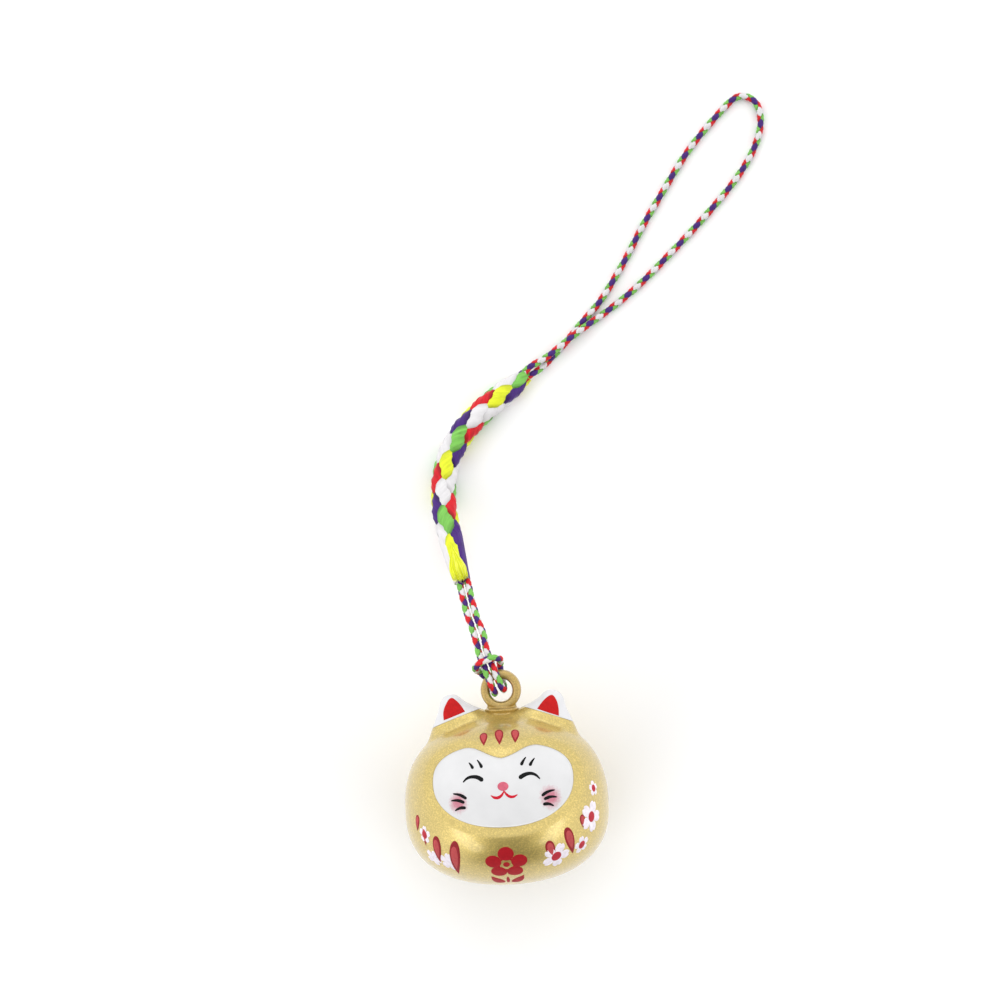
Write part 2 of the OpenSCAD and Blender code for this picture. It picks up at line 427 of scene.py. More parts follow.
THIN_D = 0.9
THICK_D = 3.4
HITCH_LEAN = math.radians(20)
HITCH_SHIFT = 0.25
HITCH_HALF = [
    (-0.5, 5.0, 0.0), (-0.5, 4.0, 0.5), (-0.5, 3.1, 1.15), (-0.5, 2.2, 1.35), (-0.52, 1.25, 1.35),
    (-0.55, 0.3, 0.95), (-0.6, -0.1, 0.0), (-0.7, 0.3, -0.95), (-0.85, 1.25, -1.4),
    (-1.05, 2.2, -1.4), (-1.35, 2.95, -1.0), (-1.6, 3.4, 0.0), (-1.4, 3.85, 1.1), (-0.7, 4.1, 1.7),
]
HITCH_MIDDLE = (0, 4.15, 1.8)
LEFT_LEG = [
    (-4.75, 24.2, 7.3), (-4.4, 22.5, 8.3), (-4.1, 21.1, 9.1), (-3.7, 19.6, 10.0),
    (-3.2, 18.1, 10.9), (-2.8, 16.7, 11.7),
]
RIGHT_LEG = [
    (-1.75, 17, 11.7), (-2.2, 18.4, 10.9), (-2.7, 19.8, 10.0), (-3.1, 21.3, 9.1),
    (-3.4, 22.7, 8.3), (-3.75, 24.4, 7.3),
]
SLEEVE = [
    (-4.3, 23.9, 7.5), (-5.0, 26.5, 6.1), (-5.6, 29.1, 4.7), (-6.2, 31.9, 3.3), (-6.4, 34.7, 2.2),
    (-6.0, 37.9, 1.8), (-4.8, 40.9, 1.75), (-2.9, 43.4, 1.75), (-0.35, 45.7, 1.7),
    (2.3, 47.65, 1.6), (4.9, 49.6, 1.4),
]
SLEEVE_GIRTH = [0.66, 0.84, 0.96, 1, 1, 1, 1, 1, 1, 1, 0.6]
LOOP = [
    (5.5, 50.6, 1.7), (6.9, 51.3, 1.6), (9.3, 52.9, 1.4), (11.8, 54.7, 1.35), (14.4, 56.4, 0.7),
    (17.1, 58.2, 0.5), (20.2, 60.6, 0.5), (23.4, 63.5, 0.5), (26.6, 66.5, 0.5), (29.6, 69.5, 0.5),
    (32.2, 72.3, 0.5), (34.4, 75.2, 0.5), (35.9, 78.1, 0.5), (36.4, 80.8, 0.5), (35.6, 83.0, 0.5),
    (33.95, 83.6, 0.5), (32.0, 82.4, 0.5), (29.75, 80.15, 0.5), (27.25, 77.35, 0.5),
    (24.85, 74.05, 0.5), (22.65, 70.75, 0.5), (20.45, 67.35, 0.5), (18.5, 64.0, 0.5),
    (16.5, 60.9, 0.5), (14.7, 58.4, 0.5), (12.5, 56.1, 0.5), (10.35, 53.75, 0.5),
    (8.2, 51.6, 0.55), (7.2, 50.7, 0.75), (6.1, 49.9, 1.1),
]
LOOP_ENTRY = (4.2, 49.35, 1.7)
LOOP_RETURN = (4.7, 49.2, 1.25)
THIN_STEP = 0.08
THICK_STEP = 0.12


def hitch_point(across, outward, toward_face):
    """From the hitch's own directions, at the ring's centre, to the row frame."""
    c, s = math.cos(HITCH_LEAN), math.sin(HITCH_LEAN)
    across -= HITCH_SHIFT
    return (across * c - outward * s, RING_Y + across * s + outward * c, AXIS_Z + toward_face)


def neck_route():
    """Down one leg, round the ring and back up the other leg."""
    other_half = [(-x, y, z) for x, y, z in reversed(HITCH_HALF)]
    hitch = [hitch_point(*p) for p in (*HITCH_HALF, HITCH_MIDDLE, *other_half)]
    return LEFT_LEG + hitch + RIGHT_LEG


# ---- braids ----

UP = np.array([0.0, 0.0, 1.0])
STRAND_SIDES = 14
STRAND_ROUNDNESS = 0.8


def tangents(line):
    return unit(np.gradient(line, axis=0))


def level_normals(line):
    """The upward direction square to the line at each point, for a line that lies about flat."""
    along = tangents(line)
    return unit(UP - along * (along @ UP)[:, None])


def carried_normals(line, first, last):
    """A normal carried along the line without twist, then twisted evenly to end at last."""
    along = tangents(line)
    carried = [unit(np.array(first) - along[0] * (along[0] @ first))]
    for step in along[1:]:
        carried.append(unit(carried[-1] - step * (step @ carried[-1])))
    carried = np.array(carried)
    side = np.cross(along, carried)
    wanted = unit(np.array(last) - along[-1] * (along[-1] @ last))
    turn = math.atan2(wanted @ side[-1], wanted @ carried[-1])
    angle = turn * smooth_step(np.linspace(0, 1, len(line)))[:, None]
    return carried * np.cos(angle) + side * np.sin(angle)


def strand(line, normals, angle, weave, middle, width, thickness):
    """One flattened strand of a braid: points, faces and UVs.

    angle is where it runs round the line. weave is (depth, times, own): how far it rises and dips,
    how many times in one turn, and how much each point of its section follows its own angle, not the
    middle's. The more it does, the further the strand lies over its neighbours at its edges."""
    arc = run_length(line)
    radius = np.maximum(middle, 1e-3)
    slope = np.arctan(radius * np.gradient(angle, arc))
    halves = width[:, None] / 2, thickness[:, None] / 2
    u, v = superellipse(*halves, STRAND_ROUNDNESS, STRAND_ROUNDNESS, STRAND_SIDES)
    place = np.clip(arc[:, None] - u * np.sin(slope)[:, None], 0, arc[-1])
    turn = angle[:, None] + u * np.cos(slope)[:, None] / radius[:, None]
    depth, times, own = weave
    rise = np.cos(times * (turn * own + angle[:, None] * (1 - own)))
    height = middle[:, None] + depth[:, None] * rise + v
    side = np.cross(tangents(line), normals)
    start, up, across = [sampled(values, arc, place) for values in (line, normals, side)]
    outward = up * np.cos(turn)[..., None] + across * np.sin(turn)[..., None]
    points = start + outward * height[..., None]
    length = np.repeat(run_length(points.mean(1)), STRAND_SIDES)
    uvs = np.stack([length, (2 * u / width[:, None]).ravel()], 1)
    return points.reshape(-1, 3), tube_faces(len(line), STRAND_SIDES, flipped=True), uvs


def join_strands(name, strands, materials):
    """One mesh of many strands, each with its own material."""
    points, faces = joined([shape[:2] for shape, _ in strands])
    uvs = np.concatenate([shape[2] for shape, _ in strands])
    slots = [slot for shape, slot in strands for _ in shape[1]]
    return mesh_object(name, points, faces, materials, uvs, slots, crease=60)


def braid(name, line, normals, phases, yarns, radius, width, thickness, lift, own, taper=1.0):
    """A round braid. Half of its strands wind one way, half the other, over one and under one.

    phases are the two ways' angles along the line, and yarns the two ways' materials. lift is how
    far a strand rises over the others, and own is explained at strand."""
    materials = list(dict.fromkeys(m for way in yarns for m in way))
    each_way = len(yarns[0])
    taper = taper * np.ones(len(line))
    middle = (radius - lift - thickness / 2) * taper
    strands = []
    for sign, phase, colours in zip((1, -1), phases, yarns):
        for k, material in enumerate(colours):
            angle = sign * (phase - 2 * math.pi * k / each_way)
            weave = (sign * lift * taper, each_way, own)
            made = strand(line, normals, angle, weave, middle, width * taper, thickness * taper)
            strands.append((made, materials.index(material)))
    return join_strands(name, strands, materials)


# The thin cord's strands go once round it in each pitch.
THIN_PITCH = 3.1
THIN_YARNS = ((RED, GREEN), (PURPLE, WHITE))
# The sleeve shows a new row of cells after each cell length. Its strands run straight at first.
THICK_CELL = 3.73
THICK_YARNS = ((YELLOW, GREEN, WHITE), (WHITE, PURPLE, RED))
FIRST_CELL = 3.8
# How far each leg of the neck cord is turned from the viewer.
NECK_VIEW = math.radians(40)


def thin_braid(name, line, normals, start_phase):
    phase = start_phase + 2 * math.pi * run_length(line) / THIN_PITCH
    return braid(
        name, line, normals, (phase, phase), THIN_YARNS,
        radius=THIN_D / 2 + 0.02, width=0.68, thickness=0.42, lift=0.08, own=0.3,
    )


def add_neck_cord():
    """Two legs and the hitch; the viewer sees one column of each way's strands side by side."""
    line = spline(neck_route(), THIN_STEP)
    up, across = math.cos(NECK_VIEW), math.sin(NECK_VIEW)
    normals = carried_normals(line, (-across, 0, up), (across, 0, up))
    made = thin_braid("neck_braid", line, normals, start_phase=0.6)
    stand_in("neck_cord")
    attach(made, "strap")


def add_loop_cord():
    """The finger loop; one way's column of cells runs along the middle of its upper side.

    Both of its ends go a little way into the sleeve."""
    line = spline([LOOP_ENTRY, *LOOP, LOOP_RETURN], THIN_STEP)
    side = np.cross(tangents(line), level_normals(line))
    made = thin_braid("loop_braid", line, -side, start_phase=0.9)
    stand_in("loop_cord")
    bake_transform(made)


def sleeve_line():
    """The sleeve's line, and its girth along it as a share of its full thickness."""
    line = spline(SLEEVE, THICK_STEP)
    route_arc = run_length(np.array(SLEEVE))
    arc = run_length(line)
    return line, np.interp(arc / arc[-1], route_arc / route_arc[-1], SLEEVE_GIRTH)


def add_sleeve(tuft):
    """The thick six-strand braid; at its lower end the strands run straight down, side by side."""
    line, girth = sleeve_line()
    cells = (run_length(line * (1, 1, 0)) - FIRST_CELL) / THICK_CELL
    phases = [2 * math.pi / 3 * np.maximum(cells, first) for first in (0, 0.5)]
    made = braid(
        "sleeve_braid", line, level_normals(line), phases, THICK_YARNS,
        radius=THICK_D / 2, width=2.3, thickness=0.95, lift=0.32, own=0.5, taper=girth,
    )
    stand_in("braided_sleeve")
    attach(made, "strap")


TUFT_FIBRES = 320
TUFT_LENGTH = 5.0
TUFT_HALF_W = 1.12
FIBRE_POINTS = 12
# A fibre's radius at some of its points.
FIBRE_RADII = ((0, 2, 9, 11), (0.015, 0.045, 0.04, 0.018))
# How far up the tuft the fibres may start, as a share of its length, and how unevenly they end:
# their spread, and how much shorter those at the sides are.
ROOT_SPREAD = 0.75
END_SPREAD = 0.26
SIDE_SHORTER = 0.45
# How far a fibre bends aside, in half widths of the tuft; how far the loosest stands off; and how deep
# the lowest lies under the others.
FIBRE_BEND = 0.1
FIBRE_LOOSE = 0.35
FIBRE_DEPTH = 0.1
# The tuft opens over this share of its length to this share of its width, and draws in by this
# much over its last third.
TUFT_OPENS = 0.8
TUFT_FULL = 0.95
TUFT_DRAWS_IN = 0.12


def add_tuft():
    """The frayed end of the front yarn: fine fibres that fan out toward the sleeve's lower end."""
    chance = np.random.default_rng(7)
    line, girth = sleeve_line()
    arc = run_length(line)
    up = level_normals(line)
    side = np.cross(tangents(line), up)
    thin = np.interp(np.arange(FIBRE_POINTS), *FIBRE_RADII)
    strands = []
    for _ in range(TUFT_FIBRES):
        across = chance.uniform(-1, 1)
        start = TUFT_LENGTH * (1 - ROOT_SPREAD * chance.random() ** 2)
        end = chance.normal(0, END_SPREAD) + SIDE_SHORTER * abs(across) ** 3
        bend = chance.normal(0, FIBRE_BEND)
        loose = chance.random() ** 4 * FIBRE_LOOSE
        # Each value from here on runs along the fibre; share is how far down the tuft a point lies.
        s = np.linspace(start, end, FIBRE_POINTS)
        share = 1 - s / TUFT_LENGTH
        drawn_in = TUFT_DRAWS_IN * smooth_step(share * 3 - 2)
        spread = smooth_step(share / TUFT_OPENS) * (TUFT_FULL - drawn_in)
        sideways = TUFT_HALF_W * (spread * across + bend * share**3)
        inside = np.clip(s, 0, None)
        radius = THICK_D / 2 * np.interp(inside, arc, girth)
        # The fibres lie over an oval that is a little wider and flatter than the sleeve.
        crown = np.sqrt(np.maximum(1 - (sideways / (radius * 1.12 + 0.12)) ** 2, 0.02))
        height = radius * (0.3 + 0.75 * crown) + loose * share**4 - FIBRE_DEPTH * chance.random()
        root, rise, aside = [sampled(values, arc, inside) for values in (line, up, side)]
        beyond = (s - inside)[:, None] * tangents(line)[0]
        middle = root + beyond + rise * height[:, None] - aside * sideways[:, None]
        strands.append((fibre(middle, thin), chance.integers(0, len(TUFT_YELLOWS))))
    made = join_strands("sleeve_tuft", strands, TUFT_YELLOWS)
    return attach(made, "strap")


def fibre(middle, radii):
    """A four-sided fibre along a short line: points, faces and UVs."""
    along = tangents(middle)
    first = unit(np.cross(along, (0.3, 0.2, 1.0)))
    second = np.cross(along, first)
    corners = [first, second, -first, -second]
    points = np.stack([middle + c * radii[:, None] for c in corners], 1).reshape(-1, 3)
    rows = len(middle)
    uvs = np.stack([np.repeat(run_length(middle), 4), np.tile(np.arange(4) * 0.05, rows)], 1)
    return points, tube_faces(rows, 4, flipped=True), uvs


add_neck_cord()
add_sleeve(add_tuft())
add_loop_cord()


# ---- the bell: x across, h up the bell from its widest level, f toward the face ----

EAR_TIP = ((6.15, 12.6, 0), 1.3)
EAR_ROOTS = [((6.8, 8.8, 0), 2.2), ((3.9, 10.7, 0), 1.8), ((5.4, 9.8, 0), 2.2)]
RIDGE_MIDDLE = ((0, 10.2, 0), 1.5)
RIDGE_END = ((3.4, 10.1, 0), 1.5)
# How softly the ear's roots, the ridge and the ears run into what they grow from.
ROOT_BLEND = 0.5
RIDGE_BLEND = 2.4
EAR_BLEND = 0.9
# The white cap's slanting edge; the faces near an ear are those beyond x and above h.
CAP_EDGE = (2.6, 12.2)
CAP_SLOPE = math.radians(19.3)
CAP_LEAN = math.radians(7)
CAP_PROUD = 0.03
CAP_LAP = 0.02
NEAR_EAR = (1.1, 8)
FACE_W = 16.9
FACE_LEVEL = 4.3
FACE_RISE = 4.4
FACE_DROP = 5.15
FACE_POWER_UP = 2.4
FACE_POWER_DOWN = 2.2
NOTCH_DEPTH = 1.55
NOTCH_HALF_W = 4.6
NOTCH_WAVE = 0.8
FACE_RECESS = 0.35
LIP_DROP = 0.24
LIP_WIDTH = 1.3
DENT_LINE = ((3.7, 10.95), (6.65, 9.8))
DENT_DEPTH = 0.21
DENT_HALF_W = 0.45
SEAM_DEPTH = 0.07
SEAM_HALF_W = 0.12
SLIT_HALF = 6
SLIT_W = 1.2
SLIT_END_R = 1.4
# A distance beyond anything on the bell.
FAR = 9
# Distances from the bell's middle that are surely inside and surely outside it.
INSIDE, OUTSIDE = 5, 18
# The skin's cells along each side of the cube it is blown up from, and where and how much finer it is.
SKIN_CELLS = 128
FINE_SIDE = (0, 0.45, 0.9)
FINENESS = 1.5
# How near a hole's ragged edge lies to its outline, and how near the seam a point counts as on it.
EDGE_REACH = 0.3
ON_SEAM = 1e-4


def to_row(points):
    """From the bell's own places to the row frame."""
    return np.asarray(points) + (0, WIDEST_Y, AXIS_Z)


def body_share(p):
    """Power sum that is 1 on the bell's outside, and less inside."""
    tall = np.where(p[..., 1] < 0, LOWER_H, UPPER_H)
    round_part = np.hypot(p[..., 0], p[..., 2]) / BODY_R
    return round_part**FULLNESS + (np.abs(p[..., 1]) / tall) ** FULLNESS


def body_front(x, h, depth):
    """How far toward the face the bell's outside lies at x, h, when it is moved inward by depth."""
    tall = np.where(h < 0, LOWER_H, UPPER_H) - depth
    radius = (BODY_R - depth) * np.maximum(1 - (np.abs(h) / tall) ** FULLNESS, 0) ** (1 / FULLNESS)
    return np.sqrt(np.maximum(radius**2 - x**2, 0))


def cone_distance(p, ball_a, ball_b):
    """Distance to the round cone that spans two balls."""
    (a, r1), (b, r2) = ball_a, ball_b
    axis = np.array(b, float) - a
    long2 = axis @ axis
    fall = r1 - r2
    slope2 = long2 - fall * fall
    y = (p - a) @ axis
    z = y - long2
    x2 = (((p - a) * long2 - axis * y[:, None]) ** 2).sum(1)
    y2, z2 = y * y * long2, z * z * long2
    k = np.sign(fall) * fall * fall * x2
    side = (np.sqrt(x2 * slope2 / long2) + y * fall) / long2 - r1
    near_b = np.sqrt(x2 + z2) / long2 - r2
    near_a = np.sqrt(x2 + y2) / long2 - r1
    return np.where(
        np.sign(z) * slope2 * z2 > k, near_b, np.where(np.sign(y) * slope2 * y2 < k, near_a, side)
    )


def soft_union(a, b, width):
    share = np.clip(0.5 + (b - a) / (2 * width), 0, 1)
    return b * (1 - share) + a * share - width * share * (1 - share)


def face_outline():
    """Heart-topped oval as directions and distances from its middle."""
    a = np.linspace(-math.pi, math.pi, 721)
    above = a >= 0
    power = 2 / np.where(above, FACE_POWER_UP, FACE_POWER_DOWN)
    x = FACE_W / 2 * signed_power(np.cos(a), power)
    y = np.abs(np.sin(a)) ** power
    u = np.minimum(np.abs(x) / NOTCH_HALF_W, 1)
    wave = (1 + np.cos(math.pi * u)) / 2
    notch = NOTCH_DEPTH * (NOTCH_WAVE * wave + (1 - NOTCH_WAVE) * (1 - u) ** 2)
    h = np.where(above, (FACE_RISE - notch) * y, -FACE_DROP * y)
    return np.arctan2(h, x)[1:-1], np.hypot(x, h)[1:-1]


FACE_DIRECTIONS, FACE_DISTANCES = face_outline()


def face_reach(direction):
    return np.interp(direction, FACE_DIRECTIONS, FACE_DISTANCES, period=2 * math.pi)


def face_gap(x, h):
    """How far x, h lies outside the face's outline, measured away from its middle."""
    up = h - FACE_LEVEL
    return np.hypot(x, up) - face_reach(np.arctan2(up, x))


def slit_gap(x, f):
    """Distance in plan to the sound slit with its two round ends."""
    bar = np.maximum(np.abs(x) - SLIT_HALF, np.abs(f) - SLIT_W / 2)
    hole = np.hypot(np.abs(x) - SLIT_HALF, f) - SLIT_END_R
    return np.minimum(bar, hole)


def bell_field(p):
    """Below 0 inside the bell with its ears, above 0 outside."""
    folded = p.copy()
    folded[:, 0] = np.abs(p[:, 0])
    size = np.linalg.norm(p, axis=1)
    field = size * (1 - body_share(p) ** (-1 / FULLNESS))
    ear = cone_distance(folded, EAR_ROOTS[0], EAR_TIP)
    for root in EAR_ROOTS[1:]:
        ear = soft_union(ear, cone_distance(folded, root, EAR_TIP), ROOT_BLEND)
    field = soft_union(field, cone_distance(folded, RIDGE_END, RIDGE_MIDDLE), RIDGE_BLEND)
    field = soft_union(field, ear, EAR_BLEND)
    # The hood dips toward the face.
    lip = LIP_DROP * (1 - smooth_step(face_gap(p[:, 0], p[:, 1]) / LIP_WIDTH))
    field += np.where(p[:, 2] > 0, lip, 0)
    # A long hollow below each ear, in front and behind.
    start, end = np.array(DENT_LINE)
    long = end - start
    along = np.clip((folded[:, :2] - start) @ long / (long @ long), 0, 1)
    off = np.linalg.norm(folded[:, :2] - start - along[:, None] * long, axis=1)
    field += DENT_DEPTH * np.exp(-((off / DENT_HALF_W) ** 2))
    # The seam between the two halves.
    field += SEAM_DEPTH * np.exp(-((p[:, 2] / SEAM_HALF_W) ** 2))
    return field


def solve(inside, outside, steps=24):
    """Points where the bell's outside lies between pairs of points."""
    for _ in range(steps):
        middle = (inside + outside) / 2
        within = (bell_field(middle) < 0)[:, None]
        inside = np.where(within, middle, inside)
        outside = np.where(within, outside, middle)
    return (inside + outside) / 2


def drawn_to(pole, directions, strength):
    """Directions crowded toward a pole, so that the mesh is finer there."""
    pole = unit(np.array(pole, float))
    cosine = np.clip(directions @ pole, -1, 1)
    flat = directions - cosine[:, None] * pole
    flat /= np.maximum(np.linalg.norm(flat, axis=1), 1e-9)[:, None]
    angle = 2 * np.arctan(np.tan(np.arccos(cosine) / 2) / strength)
    return pole * np.cos(angle)[:, None] + flat * np.sin(angle)[:, None]


def outer_skin():
    """The bell's whole outside as a fine closed mesh, finest on the face side."""
    bm = bmesh.new()
    bmesh.ops.create_cube(bm, size=2)
    bmesh.ops.subdivide_edges(bm, edges=bm.edges[:], cuts=SKIN_CELLS - 1, use_grid_fill=True)
    even = unit(np.tan(coordinates(bm.verts) * math.pi / 4))
    directions = drawn_to(FINE_SIDE, even, FINENESS)
    for vertex, place in zip(bm.verts, solve(directions * INSIDE, directions * OUTSIDE)):
        vertex.co = place
    return bm


def cut(bm, place, normal, faces):
    """Cuts a mesh's faces along a plane and drops the side that the normal points to."""
    edges = {e for f in faces for e in f.edges}
    corners = {v for f in faces for v in f.verts}
    cut_up = [*faces, *edges, *corners]
    bmesh.ops.bisect_plane(
        bm, geom=cut_up, plane_co=place, plane_no=normal, clear_outer=True, dist=1e-5
    )


def near_ear(bm, side):
    """The faces near one ear."""
    middles = [(f, f.calc_center_median()) for f in bm.faces]
    return [f for f, middle in middles if middle.x * side > NEAR_EAR[0] and middle.y > NEAR_EAR[1]]


def cap_normal(side):
    """Square to the slanting edge of an ear's white cap."""
    level = math.cos(CAP_SLOPE)
    return (side * math.sin(CAP_SLOPE), level * math.cos(CAP_LEAN), -level * math.sin(CAP_LEAN))


def in_face(p):
    return (face_gap(p[:, 0], p[:, 1]) < 0) & (p[:, 2] > 0)


def in_slit(p):
    return (slit_gap(p[:, 0], p[:, 2]) < 0) & (p[:, 1] < 0)


def on_face_outline(p):
    """The nearest points of the face's outline, and how far away they are."""
    gap = np.where(p[:, 2] > 0, face_gap(p[:, 0], p[:, 1]), FAR)
    up = p[:, 1] - FACE_LEVEL
    share = 1 - gap / np.hypot(p[:, 0], up)
    x, h = p[:, 0] * share, FACE_LEVEL + up * share
    behind, before = [np.stack([x, h, np.full_like(x, f)], 1) for f in (4, 16)]
    return solve(behind, before), gap


def on_slit_outline(p):
    """The nearest points of the slit's outline, and how far away they are."""
    x, f = p[:, 0], p[:, 2]
    gap = np.where(p[:, 1] < 0, slit_gap(x, f), FAR)
    step = 1e-3
    slope_x = (slit_gap(x + step, f) - slit_gap(x - step, f)) / (2 * step)
    slope_f = (slit_gap(x, f + step) - slit_gap(x, f - step)) / (2 * step)
    x, f = x - gap * slope_x, f - gap * slope_f
    above, below = [np.stack([x, np.full_like(x, h), f], 1) for h in (-4, -13)]
    return solve(above, below), gap


def open_hole(bm, inside, snapped):
    """Deletes the faces inside a hole and moves its edge onto the hole's exact outline."""
    gone = inside(np.array([f.calc_center_median() for f in bm.faces]))
    bmesh.ops.delete(bm, geom=[f for f, g in zip(bm.faces[:], gone) if g], context="FACES")
    rim = [v for v in bm.verts if v.is_boundary and abs(v.co.z) > ON_SEAM]
    near = np.abs(snapped(coordinates(rim))[1]) < EDGE_REACH
    rim = [v for v, n in zip(rim, near) if n]
    for vertex, place in zip(rim, snapped(coordinates(rim))[0]):
        vertex.co = place


def thicken(bm, thickness):
    """Adds an inner wall and closes every edge. Returns points, faces and 1 for each inner face."""
    bm.normal_update()
    outer = coordinates(bm.verts)
    normals = np.array([v.normal for v in bm.verts])
    # At the seam the wall stays in the seam's plane.
    normals[:, 2] = np.where(np.abs(outer[:, 2]) < ON_SEAM, 0, normals[:, 2])
    count = len(outer)
    faces = face_corners(bm)
    inner = [tuple(count + k for k in reversed(f)) for f in faces]
    rims = []
    for edge in bm.edges:
        if edge.is_boundary:
            loop = edge.link_loops[0]
            a, b = loop.vert.index, loop.link_loop_next.vert.index
            rims.append((b, a, a + count, b + count))
    slots = [0] * len(faces) + [1] * len(inner) + [0] * len(rims)
    return np.concatenate([outer, outer - normals * thickness]), faces + inner + rims, slots


GOLD = gold_paint("gold_paint", colour(196, 174, 100), 0.4)
# The ring's darker copy of the gold paint is painted shade, standing in for the darker surroundings
# that the ring reflects.
SHADED_RING_GOLD = gold_paint("ring_gold_paint", colour(174, 146, 78), 0.34)
RAW_BRASS = gold_paint("raw_brass", colour(150, 118, 62), 0.5)
WHITE_PAINT = enamel("white_enamel", colour(214, 214, 217))
BLUSHES = [((-5.36, 2.13, 10.8), 1.2), ((5.66, 2.23, 10.6), 1.35)]
FACE_PAINT = enamel(
    "face_enamel",
    colour(211, 211, 212),
    [(to_row(middle), radius) for middle, radius in BLUSHES],
    colour(190, 112, 130),
)


def add_half_shell(whole, side, name, replaced):
    """One pressed half: side 1 is the face side, -1 the back."""
    bm = whole.copy()
    cut(bm, (0, 0, 0), (0, 0, -side), bm.faces[:])
    for ear in (-1, 1):
        edge = (ear * CAP_EDGE[0], CAP_EDGE[1] - CAP_LAP, 0)
        cut(bm, edge, cap_normal(ear), near_ear(bm, ear))
    open_hole(bm, in_slit, on_slit_outline)
    if side > 0:
        open_hole(bm, in_face, on_face_outline)
    points, faces, slots = thicken(bm, WALL)
    bm.free()
    made = mesh_object(name, to_row(points), faces, [GOLD, RAW_BRASS], slots=slots)
    stand_in(replaced)
    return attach(made, "bell")


def add_ear_cap(whole, side, name, replaced):
    """A white ear top: the bell's skin above the slanting edge, a hair proud of the gold."""
    bm = whole.copy()
    kept = set(near_ear(bm, side))
    bmesh.ops.delete(bm, geom=[f for f in bm.faces if f not in kept], context="FACES")
    cut(bm, (side * CAP_EDGE[0], CAP_EDGE[1], 0), [-c for c in cap_normal(side)], bm.faces[:])
    bm.normal_update()
    for vertex in bm.verts:
        vertex.co += vertex.normal * CAP_PROUD
    bmesh.ops.holes_fill(bm, edges=[e for e in bm.edges if e.is_boundary], sides=0)
    faces = face_corners(bm)
    made = mesh_object(name, to_row(coordinates(bm.verts)), faces, [WHITE_PAINT])
    bm.free()
    stand_in(replaced)
    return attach(made, "bell")


# Rings of the face, as shares of the way from its middle to its outline; then the rings of its thin
# raised rim, each with its depth below the bell's outside.
FACE_RINGS = [0.02, *np.linspace(0.08, 0.92, 15), 0.945, 0.96, 0.97]
FACE_RIM = [(0.976, 0.33), (0.982, 0.3), (0.99, 0.29), (0.997, 0.3), (1.0, 0.34), (1.0, 0.8)]
FACE_SPOKES = 240


def add_face_panel():
    """The recessed white face: rings about its middle."""
    rings = [(share, FACE_RECESS) for share in FACE_RINGS] + FACE_RIM
    turns = full_turn(FACE_SPOKES) - math.pi
    reach = face_reach(turns)
    points = [(0, FACE_LEVEL, body_front(0, np.array(FACE_LEVEL), FACE_RECESS))]
    for share, sink in rings:
        x = share * reach * np.cos(turns)
        h = FACE_LEVEL + share * reach * np.sin(turns)
        points += zip(x, h, body_front(x, h, sink))
    faces = [(0, 1 + k, 1 + (k + 1) % FACE_SPOKES) for k in range(FACE_SPOKES)]
    faces += ring_faces(len(rings), FACE_SPOKES, start=1)
    made = mesh_object("face_plate", to_row(points), faces, [FACE_PAINT])
    stand_in("face_panel")
    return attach(made, "bell")


whole_skin = outer_skin()
front_half = add_half_shell(whole_skin, 1, "front_half", "front_shell")
add_half_shell(whole_skin, -1, "back_half", "back_shell")
ear_caps = [
    add_ear_cap(whole_skin, -1, "left_ear_cap", "left_ear"),
    add_ear_cap(whole_skin, 1, "right_ear_cap", "right_ear"),
]
whole_skin.free()
face_plate = add_face_panel()


# ---- the ring with its collar, and the pellet ----

RING_LEVEL = RING_Y - WIDEST_Y
RING_HOLE_R = 1.4
RING_T = 1.6
RING_ROUNDNESS = 2 / 3
LIP_LEVEL = 12.1
COLLAR = [
    (0, 9.8), (2.1, 9.8), (2.1, 10.3), (1.4, 10.35), (1.4, 10.8), (2.5, 10.8), (2.05, 11.05),
    (1.86, 11.35), (1.84, 11.65), (1.95, 11.85), (2.08, 11.95), (2.08, LIP_LEVEL), (1.9, 12.2),
    (0, 12.22),
]
PEDESTAL_HALF_W = 1.72
PEDESTAL_HALF_T = 0.68
PEDESTAL_FLARE = 1.1
PEDESTAL_SIDES = 64
RING_SIDES = 48
FUSE_VOXEL = 0.06
FUSE_SMOOTHING = 3


def turned(profile, closed, count=120):
    """A profile of (radius, height) turned about the height axis: points and faces."""
    turns = full_turn(count)
    radius, height = np.array(profile).T[..., None]
    points = np.stack([radius * np.cos(turns), height + 0 * turns, radius * np.sin(turns)], -1)
    return points.reshape(-1, 3), ring_faces(len(profile), count, closed=closed)


def ring_section():
    """The ring's rounded wall: distance from the ring's centre, and depth."""
    middle, half = (RING_R + RING_HOLE_R) / 2, (RING_R - RING_HOLE_R) / 2
    across, deep = superellipse(half, RING_T / 2, RING_ROUNDNESS, RING_ROUNDNESS, RING_SIDES)
    return np.stack([middle + across, deep], 1)


def pedestal():
    """A rounded block that carries the ring on its collar, clear of the ring's hole."""
    low, high = LIP_LEVEL - 0.1, RING_LEVEL - RING_HOLE_R - 0.2
    x, f = superellipse(PEDESTAL_HALF_W, PEDESTAL_HALF_T, 0.5, 0.7, PEDESTAL_SIDES)
    levels = [(PEDESTAL_FLARE, low), (1, high)]
    points = [np.stack([share * x, np.full_like(x, h), share * f], 1) for share, h in levels]
    return np.concatenate(points), tube_faces(2, PEDESTAL_SIDES)


